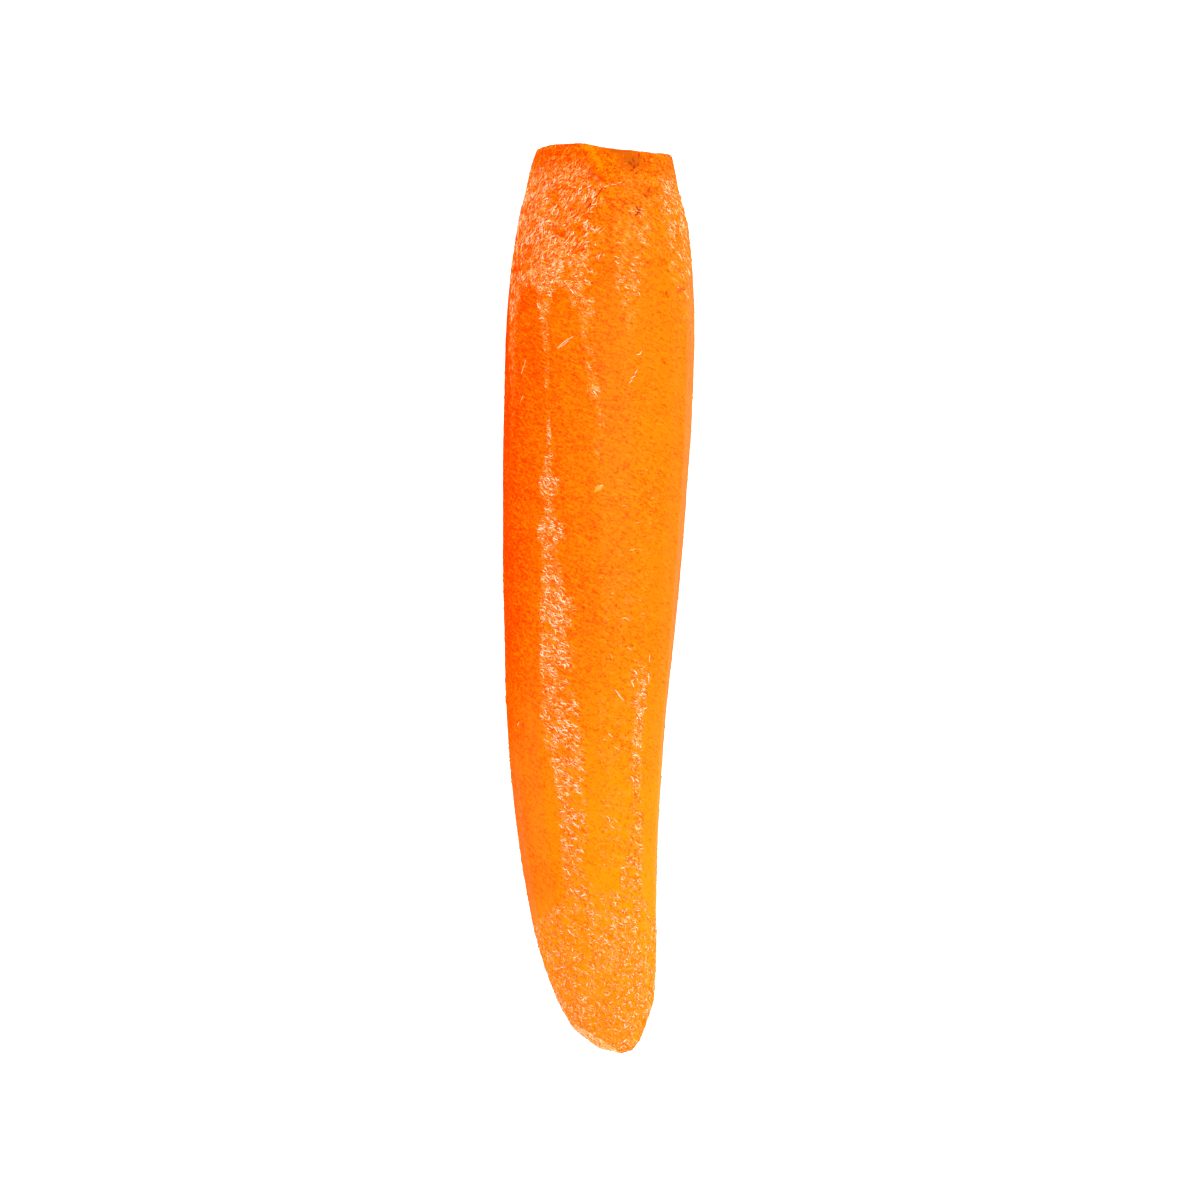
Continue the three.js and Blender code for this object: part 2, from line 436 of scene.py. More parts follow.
# Swells of the skin: height in mm, length and width of a patch in mm, slant in degrees, seed
SMOOTH_SWELLS = [(0.10, 14, 8, 80, 1.3), (0.04, 3.2, 3.2, 0, 2.2)]
SCUFFED_SWELLS = [(0.09, 1.9, 0.9, -28, 4.4), (0.05, 0.8, 0.8, 0, 6.1)]
RIDGE_HEIGHT = 0.10  # mm, on the crispest ridges
RIM_WEAR = 0.30 * MM
TORN_DEPTH = 0.13 * MM


def swelling(flat, swells):
    return sum(height * unevenness(flat, *patch) for height, *patch in swells)


def skin_lift(along, turn, radius, scuff, kept_flat):
    """How far each point of the skin is raised, in mm."""
    flat = unrolled(along, turn)
    lift = swelling(flat, SMOOTH_SWELLS) + scuff * swelling(flat, SCUFFED_SWELLS)
    ridge_swell = unevenness(flat, 5, 1.3, 0, 7.9)
    for _, crown, tip, crispness in RIDGES:
        here = crown + (tip - crown) * along / (LENGTH / MM)
        near_ridge = 1 - eased(np.radians(turn_between(turn, here)) * radius, 0.2, 1.4)
        lift += RIDGE_HEIGHT * crispness * near_ridge * ridge_swell
    for lump_along, lump_turn, width, height in LUMPS:
        away = np.hypot(along - lump_along, np.radians(turn_between(turn, lump_turn)) * radius)
        lift += height * (1 - eased(away, 0.25 * width, width))
    return lift * (1 - kept_flat)


# How red the flesh is, from 0 to 1, at each turn: painted shade on the left flank, painted light on the
# right
SIDE_SHADE_AND_FLUSH = [
    (-180, 0.4), (-120, 0.5), (-80, 1.1), (-62, 0.82), (-50, 0.62), (-30, 0.45), (-12, 0.33),
    (5, 0.21), (30, 0.10), (60, 0.06), (100, 0.2), (180, 0.4),
]


def paint(mesh, name, values):
    layer = mesh.attributes.new(name, "FLOAT", "POINT")
    layer.data.foreach_set("value", np.asarray(values, np.float32))


# How far the cut dips below its plane, in mm, at distances from its middle towards +X
SLICE_DIPS = [
    (-14, 1.4), (-12, 0.95), (-9.5, 0.4), (-6, 0.05), (-3, 0.1),
    (1, 0.65), (6, 0.65), (9.5, 0.65), (13, 0.35),
]


def wear_crown(places, flat, along, radius):
    """Wears the rim of the slice unevenly, and dips the cut where the knife went deeper."""
    wear = 0.5 + 0.5 * unevenness(flat, 2.6, 40, 0, 15.5)
    wear += 0.35 * unevenness(flat, 0.9, 40, 0, 18.2)
    wear = np.clip(wear, 0, 1)
    places[:, 1] -= RIM_WEAR * wear * (1 - eased(along, 0.3, 2.2)) * eased(radius, 9, 12)
    aside = (places[:, 0] - SLICE_MIDDLE.x) / MM
    dip = np.interp(aside, *zip(*SLICE_DIPS))
    places[:, 1] -= dip * MM * (1 - eased(along, 0.5, 5))


def trim_tip(places, along, radius):
    """Moves what lies past the knife's flats onto them, and returns how torn each place is left."""
    torn_here = (1 - eased(radius, 1.5, 4.0)) * (along > LENGTH / MM - 10)
    wobble = TORN_DEPTH * unevenness(places[:, [0, 2]] / MM, 2.2, 0.9, -40, 21.4)
    for place, facing, torn in TIP_FLATS:
        past = np.maximum((places - np.array(place)) @ np.array(facing) - wobble * torn, 0)
        places -= past[:, None] * np.array(facing)
        torn_here = np.maximum(torn_here, torn * (past > 0))
    return torn_here


def side_shade_and_flush(along, turn):
    """How red the flesh is: redder near the crown, paler at the tip, and reddest on its left, as
    painted shade.
    """
    shade_and_flush = np.interp(turn, *zip(*SIDE_SHADE_AND_FLUSH)) * (1 - 0.65 * eased(along, 80, 125))
    shade_and_flush += (0.14 + 0.26 * (1 - eased(turn, -10, 12))) * (1 - eased(along, 4, 12))
    shade_and_flush += 0.12 * (1 - eased(along, 24, 34))
    return shade_and_flush - 0.3 * eased(along, 138, 156)


def rough_up(root):
    """Raises the skin's relief, wears the crown, trims the tip, and paints what the finish reads."""
    mesh = root.data
    count = len(mesh.vertices)
    places, facing = np.empty(count * 3, np.float32), np.empty(count * 3, np.float32)
    mesh.vertices.foreach_get("co", places)
    mesh.vertex_normals.foreach_get("vector", facing)
    places, facing = places.reshape(-1, 3), facing.reshape(-1, 3)
    along, turn, radius = skin_measures(places)
    scuff, slant = scuffing(along, turn, radius)
    resting = eased(-facing[:, 2], 0.93, 0.99)
    on_slice = eased(facing[:, 1], 0.75, 0.95) * (along < 3)
    scuff *= (1 - resting) * (1 - on_slice)
    lift = skin_lift(along, turn, radius, scuff, np.maximum(resting, on_slice))
    places += facing * (lift * MM)[:, None]
    wear_crown(places, unrolled(along, turn), along, radius)
    torn_here = trim_tip(places, along, radius)
    places[:, 2] = np.maximum(places[:, 2], 0)
    mesh.vertices.foreach_set("co", places.ravel())
    mesh.update()
    corners = [Vector(corner) for corner in ring_corners(0)]
    rim_turn, rim_radius = skin_measures(np.array(corners))[1:]
    order = np.argsort(rim_turn)
    rim = np.interp(turn, rim_turn[order], rim_radius[order], period=360)
    paint(mesh, "scuff", scuff)
    paint(mesh, "rises", eased(slant, -5, 25))
    # The flush is partly the flesh's own redness, partly painted shade on the left and painted light on
    # the right
    paint(mesh, "shade_and_flush", side_shade_and_flush(along, turn))
    paint(mesh, "trimmed", torn_here)
    paint(mesh, "ring_share", np.clip(radius / rim, 0, 1))


BAKE_SIDE = 0.82  # share of the bake's width that the skin takes; the slice lies beside it
BAKE_SLICE = 0.16  # share that the slice takes
BAKE_GAP = 0.005  # clear of the bake's edges
BAKE_ACROSS = 30 * MM  # width of the square that holds the slice


def lay_out_skin(root):
    """Two maps: the unrolled skin in mm, and the one that the finish is baked through."""
    mesh = root.data
    places = np.empty(len(mesh.vertices) * 3, np.float32)
    mesh.vertices.foreach_get("co", places)
    places = places.reshape(-1, 3)
    along, turn, _ = skin_measures(places)
    corner_vertex = np.empty(len(mesh.loops), np.int32)
    mesh.loops.foreach_get("vertex_index", corner_vertex)
    corner_turn = turn[corner_vertex].reshape(-1, 4)  # every face has four corners
    wraps = np.ptp(corner_turn, axis=1) > 180
    corner_turn = np.where(wraps[:, None] & (corner_turn < 0), corner_turn + 360, corner_turn).ravel()
    corner_along = along[corner_vertex]
    skin = mesh.uv_layers.new(name="skin", do_init=False)
    skin.data.foreach_set("uv", unrolled(corner_along, corner_turn).astype(np.float32).ravel())
    on_slice = np.empty(len(mesh.polygons), np.int32)
    mesh.polygons.foreach_get("material_index", on_slice)
    on_slice = np.repeat(on_slice > 0, 4)
    round_share = (corner_turn + 180) / 360
    length_share = 1 - np.clip(corner_along / (LENGTH / MM), 0, 1)
    from_middle = places[corner_vertex][:, [0, 2]] - [SLICE_MIDDLE.x, SLICE_MIDDLE.z]
    spread = np.stack([round_share * BAKE_SIDE, length_share], axis=1)
    slice_centre = 1 - BAKE_SLICE / 2 - BAKE_GAP
    spread[on_slice] = slice_centre + from_middle[on_slice] / BAKE_ACROSS * BAKE_SLICE
    baked = mesh.uv_layers.new(name="OFBake", do_init=False)
    baked.data.foreach_set("uv", spread.astype(np.float32).ravel())


# ---------------------------------------------------------------- dried curls

# How a curl is drawn out from one end to the other: how far aside each ring lies, in widths of the
# curl, and its thickness
CURL_PATTERNS = [
    ((-0.3, 0.3, 0.3, -0.3), (0.7, 1.0, 0.95, 0.6)),
    ((0.4, -0.2, -0.4, 0.2), (0.6, 0.9, 1.0, 0.75)),
    ((-0.5, 0.2, -0.2, 0.4), (0.8, 1.0, 0.8, 0.55)),
    ((0.3, 0.1, -0.1, -0.6), (0.5, 0.85, 1.0, 0.8)),
    ((-0.1, 0.1, -0.1, 0.2), (0.6, 1.1, 1.0, 0.6)),
]
CURL_DENSITY = 4.8  # curls to a square mm where they lie thickest
MOST_CURLS = 8000  # in one piece
CURL_LENGTHS = (0.4, 1.8)  # mm, the shortest and the longest
CURL_WIDTHS = (0.15, 0.36)  # mm
CURL_HEIGHTS = (0.06, 0.16)  # mm above the skin
# The pieces that the curls are joined into, and the mm along that each covers
CURL_PIECES = {"shoulder_curls": (0, 50), "strip_curls": (50, 138), "tip_curls": (138, 180)}
NEAR_SLICE = 0.4  # mm, kept clear of curls
CURL_RISE = 0.25  # share of its thickness that a curl is lifted, so that its lower edges stay sunk
DRY_HEIGHT = 0.5  # share of its height from which a curl is quite dry
CELL_MARGIN = 0.08  # share of a curl's cell in the bake that is left clear on each side

SINGLE_PALENESS = 0.7
# Single curls and threads: along, turn, length in mm, slant, width in mm, height in mm
SINGLE_CURLS = [
    (102.2, 22.5, 2.4, -40, 0.30, 0.22),
    (103.0, 25.0, 2.2, -42, 0.28, 0.24),
    (125.6, 17.4, 1.6, -62, 0.24, 0.22),
    (127.0, 20.0, 1.5, -38, 0.24, 0.22),
    (110.0, 18.2, 1.5, -45, 0.26, 0.20),
    (39.2, 25.4, 1.5, 35, 0.34, 0.20),
    (42.6, 23.4, 1.2, 45, 0.28, 0.20),
    (43.6, 21.3, 1.3, 45, 0.28, 0.20),
    (44.4, 20.0, 1.0, 40, 0.26, 0.18),
    (63.7, 4.0, 0.9, 50, 0.3, 0.2),
    (108.0, -58.6, 1.0, 50, 0.26, 0.2),
    (37.0, -21.0, 4.4, 34, 0.22, 0.10),
    (37.6, -22.5, 3.2, 34, 0.20, 0.10),
    (41.5, -53.4, 3.6, 62, 0.22, 0.10),
    (47.5, -54.6, 1.6, 60, 0.20, 0.10),
    (8.1, 3.0, 1.3, 18, 0.20, 0.12),
    (7.8, 8.0, 1.2, 6, 0.18, 0.10),
    (7.4, 13.0, 1.0, 16, 0.18, 0.10),
    (9.9, -5.9, 1.8, 50, 0.22, 0.14),
    (13.1, 29.6, 1.3, -38, 0.18, 0.14),
    (12.3, 29.8, 1.1, -12, 0.16, 0.12),
    (13.7, 27.6, 1.0, -65, 0.16, 0.12),
    (9.5, 86.0, 1.4, 60, 0.3, 0.5),
    (12.8, 87.0, 1.2, -50, 0.3, 0.5),
    (103.0, -88.0, 1.0, 20, 0.3, 0.4),
    (95.8, 46.5, 1.8, -80, 0.24, 0.16),
    (99.5, 47.5, 2.6, -84, 0.26, 0.18),
]


# A unit curl is about 1 long, 1 wide and 1 high, and these are shares of that
CURL_RADIUS = 0.58  # of its three-cornered rings
CURL_STEP = 0.24  # from one ring to the next
CURL_POINT = 0.14  # from the last ring to the point that closes it
CURL_SINK = 0.2  # how far the points sink below the rings


def model_curl(asides, thicknesses):
    """One dried curl, a unit long: a three-cornered ring drawn out in steps, with both ends closed."""
    start_fresh()
    bpy.ops.mesh.primitive_circle_add(
        vertices=3, radius=CURL_RADIUS, fill_type="NOTHING", rotation=(math.pi / 2, 0, math.pi / 2)
    )
    curl = bpy.context.object
    bpy.ops.object.transform_apply(location=False, rotation=True, scale=False)
    bpy.ops.object.mode_set(mode="EDIT")
    bpy.ops.mesh.select_all(action="SELECT")
    bpy.ops.transform.translate(value=(-1.5 * CURL_STEP, asides[0], 0))
    thickness = thicknesses[0]
    bpy.ops.transform.resize(value=(1, thickness, thickness))
    for before, aside, wanted in zip(asides, asides[1:], thicknesses[1:]):
        step = {"value": (CURL_STEP, aside - before, 0)}
        bpy.ops.mesh.extrude_edges_move(TRANSFORM_OT_translate=step)
        bpy.ops.transform.resize(value=(1, wanted / thickness, wanted / thickness))
        thickness = wanted
    bpy.ops.mesh.extrude_edges_move(TRANSFORM_OT_translate={"value": (CURL_POINT, 0, -CURL_SINK)})
    bpy.ops.mesh.merge(type="CENTER")
    shape = bmesh.from_edit_mesh(curl.data)
    bpy.ops.mesh.select_all(action="DESELECT")
    for edge in shape.edges:
        edge.select = all(vertex.co.x < -CURL_STEP for vertex in edge.verts)
    bmesh.update_edit_mesh(curl.data)
    bpy.ops.mesh.extrude_edges_move(TRANSFORM_OT_translate={"value": (-CURL_POINT, 0, -CURL_SINK)})
    bpy.ops.mesh.merge(type="CENTER")
    bpy.ops.mesh.select_all(action="SELECT")
    bpy.ops.mesh.normals_make_consistent(inside=False)
    bpy.ops.mesh.quads_convert_to_tris()
    bpy.ops.object.mode_set(mode="OBJECT")
    places = np.array([vertex.co for vertex in curl.data.vertices])
    places[:, 2] += CURL_RISE
    faces = np.array([face.vertices[:] for face in curl.data.polygons])
    bpy.data.objects.remove(curl)
    return places, faces


def scatter_curls(root, dice):
    """The curls of the scuffed bands: along, turn, length, slant, width, height, paleness."""
    mesh = root.data
    mesh.calc_loop_triangles()
    corners = np.empty(len(mesh.loop_triangles) * 3, np.int32)
    mesh.loop_triangles.foreach_get("vertices", corners)
    corners = corners.reshape(-1, 3)
    areas = np.empty(len(corners), np.float32)
    mesh.loop_triangles.foreach_get("area", areas)
    places = np.array([vertex.co for vertex in mesh.vertices])
    scuff = np.empty(len(places), np.float32)
    mesh.attributes["scuff"].data.foreach_get("value", scuff)
    wanted = areas / MM ** 2 * CURL_DENSITY * scuff[corners].mean(axis=1) ** 2
    count = int(wanted.sum())
    chosen = corners[dice.choice(len(corners), count, p=wanted / wanted.sum())]
    shares = dice.dirichlet((1, 1, 1), count)
    spots = (places[chosen] * shares[:, :, None]).sum(axis=1)
    along, turn, radius = skin_measures(spots)
    thickness, slant = scuffing(along, turn, radius)
    slant = slant + dice.normal(0, 21, count)
    at_tip = eased(along, *TIP_STARTS)
    slant += at_tip * dice.normal(0, 32, count)  # the tip's curls lie every way
    size = dice.lognormal(0, 0.34, count) * (1 - 0.25 * at_tip)
    length = np.clip(0.78 * size, *CURL_LENGTHS)
    width = np.clip(0.23 * size ** 0.5 * dice.uniform(0.7, 1.3, count), *CURL_WIDTHS)
    height = dice.uniform(*CURL_HEIGHTS, count)
    worth = (0.35 + 0.65 * eased(along, 3, 8)) * (1 + 0.25 * eased(along, 50, 60))
    paleness = dice.uniform(0, 1, count) ** (1.3 + 0.7 * at_tip)
    paleness *= (0.3 + 0.7 * eased(thickness, 0.1, 0.6)) * worth
    keep = along > NEAR_SLICE
    curls = np.stack([along, turn, length, slant, width, height, paleness], axis=1)
    return curls[keep], spots[keep]


def single_spots(root_skin):
    """Where the single curls lie on the skin."""
    spots = []
    for along, turn, *_ in SINGLE_CURLS:
        middle = ring_middle(along * MM)
        start = Vector((middle.x, SLICE_Y - along * MM, middle.z))
        lean = math.radians(turn)
        spots.append(root_skin.ray_cast(start, Vector((math.sin(lean), 0, math.cos(lean))))[0])
    return np.array(spots)


def lay_curls(root):
    """All the curls, in a few pieces."""
    dice = np.random.default_rng(12)
    root_skin = BVHTree.FromPolygons(
        [vertex.co for vertex in root.data.vertices], [face.vertices[:] for face in root.data.polygons]
    )
    patterns = [model_curl(*pattern) for pattern in CURL_PATTERNS]
    scattered, spots = scatter_curls(root, dice)
    singles = np.array([(*curl, SINGLE_PALENESS) for curl in SINGLE_CURLS])
    curls = np.concatenate([scattered, singles])
    spots = np.concatenate([spots, single_spots(root_skin)])
    pieces = []
    for name, (start, end) in CURL_PIECES.items():
        here = np.flatnonzero((curls[:, 0] >= start) & (curls[:, 0] < end))[-MOST_CURLS:]
        pieces.append(join_curls(name, curls[here], spots[here], patterns, root_skin))
    return pieces


def join_curls(name, curls, spots, patterns, root_skin):
    """One piece of curls, each laid to the skin, with its ends sunk in it."""
    cells = math.ceil(math.sqrt(len(curls)))
    all_places, all_faces, dryness, shade, uvs = [], [], [], [], []
    first = 0
    for number, (curl, spot) in enumerate(zip(curls, spots)):
        _, _, length, slant, width, height, paleness = curl
        places, faces = patterns[number % len(patterns)]
        _, facing, _, _ = root_skin.find_nearest(spot)
        lengthwise = Vector((0, -1, 0))
        lengthwise = (lengthwise - facing * lengthwise.dot(facing)).normalized()
        crosswise = facing.cross(lengthwise)
        lean = math.radians(slant)
        run = crosswise * math.cos(lean) - lengthwise * math.sin(lean)
        aside = facing.cross(run)
        for x, y, z in places:
            flat_place = Vector(spot) + (run * (x * length) + aside * (y * width)) * MM
            near, out, _, _ = root_skin.find_nearest(flat_place)
            all_places.append(near + out * (z * height * MM))
        all_faces.append(faces + first)
        dryness.append(np.clip(places[:, 2] / DRY_HEIGHT, 0, 1))
        shade.append(np.full(len(places), paleness))
        cell = np.array([number % cells, number // cells])
        corner_places = places[faces.ravel()]
        across = np.arctan2(corner_places[:, 1], corner_places[:, 2]) / (2 * math.pi) + 0.5
        inside = np.stack([corner_places[:, 0] + 0.5, across], axis=1)
        uvs.append((cell + CELL_MARGIN + inside * (1 - 2 * CELL_MARGIN)) / cells)
        first += len(places)
    mesh = bpy.data.meshes.new(name)
    mesh.from_pydata(all_places, [], np.concatenate(all_faces).tolist())
    paint(mesh, "dryness", np.concatenate(dryness))
    paint(mesh, "shade", np.concatenate(shade))
    baked = mesh.uv_layers.new(name="OFBake", do_init=False)
    baked.data.foreach_set("uv", np.concatenate(uvs).astype(np.float32).ravel())
    mesh.shade_smooth()
    mesh.update()
    curls_piece = bpy.data.objects.new(name, mesh)
    bpy.context.scene.collection.objects.link(curls_piece)
    return curls_piece


# ---------------------------------------------------------------- finishes


class Shade:
    """A shading value of a finish. Sums written with it become Math nodes."""

    def __init__(self, finish, socket):
        self.finish = finish
        self.socket = socket

    def out(self, name):
        """Another output of the same node."""
        return Shade(self.finish, self.socket.node.outputs[name])

    def work(self, operation, *values):
        return self.finish.node("ShaderNodeMath", {"operation": operation}, dict(enumerate(values)))

    def __add__(self, other):
        return self.work("ADD", self, other)

    def __radd__(self, other):
        return self.work("ADD", other, self)

    def __sub__(self, other):
        return self.work("SUBTRACT", self, other)

    def __rsub__(self, other):
        return self.work("SUBTRACT", other, self)

    def __mul__(self, other):
        return self.work("MULTIPLY", self, other)

    def __rmul__(self, other):
        return self.work("MULTIPLY", other, self)

    def __truediv__(self, other):
        return self.work("DIVIDE", self, other)

    def __abs__(self):
        return self.work("ABSOLUTE", self)

    def eased(self, low, high, start=0, end=1):
        """From start, where this is low, to end, where it is high, with a smooth change between."""
        settings = {"interpolation_type": "SMOOTHSTEP"}
        inputs = dict(enumerate((self, low, high, start, end)))
        return self.finish.node("ShaderNodeMapRange", settings, inputs)


class Finish:
    """A procedural finish, built up from nodes around one Principled shader."""

    def __init__(self, name, **constants):
        self.material = bpy.data.materials.new(name)
        self.material.use_nodes = True
        self.tree = self.material.node_tree
        self.surface = self.tree.nodes["Principled BSDF"]
        for socket, value in constants.items():
            self.surface.inputs[socket.replace("_", " ")].default_value = value

    def node(self, kind, settings=None, inputs=None):
        """A new node's first output. Its settings are made first, then its values and links."""
        made = self.tree.nodes.new(kind)
        for name, value in (settings or {}).items():
            setattr(made, name, value)
        for key, value in (inputs or {}).items():
            self.feed(made.inputs[key], value)
        return Shade(self, made.outputs[0])

    def feed(self, socket, value):
        if isinstance(value, Shade):
            self.tree.links.new(value.socket, socket)
        else:
            socket.default_value = value

    def painted(self, name):
        """A value that was painted on the piece."""
        return self.node("ShaderNodeAttribute", {"attribute_name": name}).out("Fac")

    def blend(self, share, under, over):
        """Colour: under, with over laid on it by share."""
        inputs = {0: share}
        for key, colour in ((6, under), (7, over)):
            inputs[key] = colour if isinstance(colour, Shade) else (*colour, 1)
        return self.node("ShaderNodeMix", {"data_type": "RGBA"}, inputs).out(2)

    def grain(self, across, down, patch, slant=0, seed=0.0, detail=2.0, distortion=0.0):
        """Noise from 0 to 1 in patches of a length and a width in mm, that lie at a slant."""
        lean = math.radians(slant)
        run = (across * math.cos(lean) - down * math.sin(lean)) / patch[0]
        aside = (across * math.sin(lean) + down * math.cos(lean)) / patch[1]
        place = self.node("ShaderNodeCombineXYZ", {}, {0: run, 1: aside, 2: seed})
        inputs = {"Vector": place, "Scale": 1, "Detail": detail, "Distortion": distortion}
        return self.node("ShaderNodeTexNoise", {}, inputs)

    def lay(self, colour, roughness, height, height_scale):
        """Sets the colour and roughness, and the relief, whose height is in units of height_scale."""
        self.feed(self.surface.inputs["Base Color"], colour)
        self.feed(self.surface.inputs["Roughness"], roughness)
        inputs = {"Strength": 1, "Distance": height_scale, "Height": height}
        bump = self.node("ShaderNodeBump", {}, inputs)
        self.feed(self.surface.inputs["Normal"], bump)


# Stains, and golden spots that are painted highlights: along, turn, half-length and half-width in
# mm, slant, strength, colour. They are broken up by the grain of the flesh, the wide ones most.
PIT_BROWN = (0.27, 0.015, 0.0004)
BROWN = (0.38, 0.032, 0.0005)
OLIVE = (0.48, 0.088, 0.0008)
RED_BROWN = (0.50, 0.030, 0.0005)
# Painted highlights, most of them on lumps near the crown
GOLDEN_HIGHLIGHT = (0.96, 0.215, 0.001)
BUFF = (0.98, 0.38, 0.05)
STAINS_AND_HIGHLIGHTS = [
    (2.9, 24.0, 4.8, 2.4, 0, 0.95, OLIVE),
    (1.0, 15.0, 4.6, 1.2, 0, 0.98, OLIVE),
    (8.9, 35.0, 2.0, 1.3, 20, 0.7, OLIVE),
    (0.9, 12.0, 2.4, 0.35, 0, 0.8, BROWN),
    (0.9, 19.5, 1.6, 0.40, 0, 0.8, BROWN),
    (4.1, 26.1, 0.80, 0.42, 60, 0.95, BROWN),
    (3.4, 22.9, 0.75, 0.38, -30, 0.95, BROWN),
    (4.7, 23.8, 0.65, 0.34, 10, 0.85, BROWN),
    (2.8, 25.6, 0.75, 0.34, -60, 0.9, BROWN),
    (5.2, 27.2, 0.60, 0.34, 30, 0.8, BROWN),
    (1.6, 31.5, 1.1, 0.30, 75, 0.9, BROWN),
    (3.5, 29.5, 0.70, 0.30, 40, 0.8, BROWN),
    (2.5, 36.0, 0.85, 0.26, 85, 0.8, BROWN),
    (8.2, 36.7, 0.95, 0.36, 60, 0.7, BROWN),
    (9.4, 33.2, 0.75, 0.38, -20, 0.75, BROWN),
    (8.7, 38.5, 0.60, 0.20, 10, 0.5, BROWN),
    (12.5, 26.8, 1.3, 0.9, 40, 0.4, RED_BROWN),
    (12.5, 26.6, 0.75, 0.50, 60, 0.98, PIT_BROWN),
    (11.8, 25.4, 0.70, 0.28, -70, 0.9, BROWN),
    (13.2, 24.4, 0.70, 0.26, 10, 0.85, BROWN),
    (11.6, 28.0, 0.50, 0.16, 50, 0.75, BROWN),
    (8.95, -1.3, 1.25, 0.26, 55, 0.95, RED_BROWN),
    (10.3, -5.0, 1.1, 0.27, 49, 0.98, RED_BROWN),
    (11.8, -9.0, 1.4, 0.28, 56, 0.98, RED_BROWN),
    (9.3, -6.6, 1.3, 0.22, 50, 0.8, RED_BROWN),
    (11.0, -10.6, 1.1, 0.22, 58, 0.8, RED_BROWN),
    (5.9, -9.0, 1.8, 0.9, -40, 0.45, RED_BROWN),
    (6.7, -1.6, 1.1, 0.6, -30, 0.5, RED_BROWN),
    (27.9, 44.5, 0.65, 0.36, 80, 0.9, RED_BROWN),
    (27.1, 58.0, 1.5, 0.9, 30, 0.55, RED_BROWN),
    (26.1, 69.0, 1.0, 0.6, 30, 0.4, RED_BROWN),
    (2.5, 42.8, 1.35, 1.05, 30, 0.65, BROWN),
    (2.5, 42.8, 0.85, 0.62, 30, 0.95, GOLDEN_HIGHLIGHT),
    (13.0, -47.3, 1.0, 0.9, 0, 0.9, GOLDEN_HIGHLIGHT),
    (13.3, -45.4, 0.28, 0.28, 0, 0.8, RED_BROWN),
    (1.1, -11.0, 2.2, 1.0, -15, 0.7, GOLDEN_HIGHLIGHT),
    (2.9, -5.2, 1.9, 1.0, -45, 0.75, GOLDEN_HIGHLIGHT),
    (4.4, -1.4, 1.1, 0.8, -50, 0.75, GOLDEN_HIGHLIGHT),
    (24.2, 71.0, 1.4, 0.9, 20, 0.6, GOLDEN_HIGHLIGHT),
    (64.2, 2.4, 1.0, 0.6, 38, 0.85, BUFF),
    (83.6, 14.5, 0.5, 0.3, 20, 0.6, BUFF),
]

# Linear colours of the flesh
RED_FLESH = (0.94, 0.039, 0.0002)
ORANGE_FLESH = (0.95, 0.125, 0.0004)
YELLOW_FLESH = (0.96, 0.176, 0.0006)
# Painted shade for the gaps between dried fibres
GAP_SHADE_FLESH = (0.88, 0.045, 0.0002)
DRY_FLESH = (0.99, 0.53, 0.18)
PALE_FLESH = (0.97, 0.28, 0.004)
# Golden flesh, laid on as painted highlights and painted light
GOLDEN_LIT_FLESH = (0.97, 0.25, 0.001)
DRY_TIP_FLESH = (0.98, 0.48, 0.06)
# Pale torn flesh, with painted highlights
TORN_FLESH_AND_HIGHLIGHT = (0.99, 0.68, 0.38)
DRIED_CURL = (1.0, 0.84, 0.62)
# How deep red, green and blue light goes into the flesh, in mm
FLESH_DEPTHS = (2.2, 0.7, 0.2)
CURL_DEPTHS = (1.2, 0.5, 0.3)


def stained_and_highlighted(finish, skin, specks, mottle, colour):
    """The flesh's colour with every stain and painted highlight laid on it, each an ellipse with a
    ragged edge.
    """
    for along, turn, half_length, half_width, slant, strength, spot_colour in STAINS_AND_HIGHLIGHTS:
        inputs = {
            "Vector": skin,
            "Location": (math.radians(turn) * SKIN_RADIUS, along, 0),
            "Rotation": (0, 0, -math.radians(slant)),
            "Scale": (half_length, half_width, 1),
        }
        inside = finish.node("ShaderNodeMapping", {"vector_type": "TEXTURE"}, inputs)
        away = finish.node("ShaderNodeVectorMath", {"operation": "LENGTH"}, {0: inside}).out("Value")
        breaks = min(1.8, 3 * half_width)
        ragged = away + (specks - 0.5) * breaks + (mottle - 0.5) * (0.5 * breaks)
        colour = finish.blend(ragged.eased(1, 0.4, 0, strength), colour, spot_colour)
    return colour


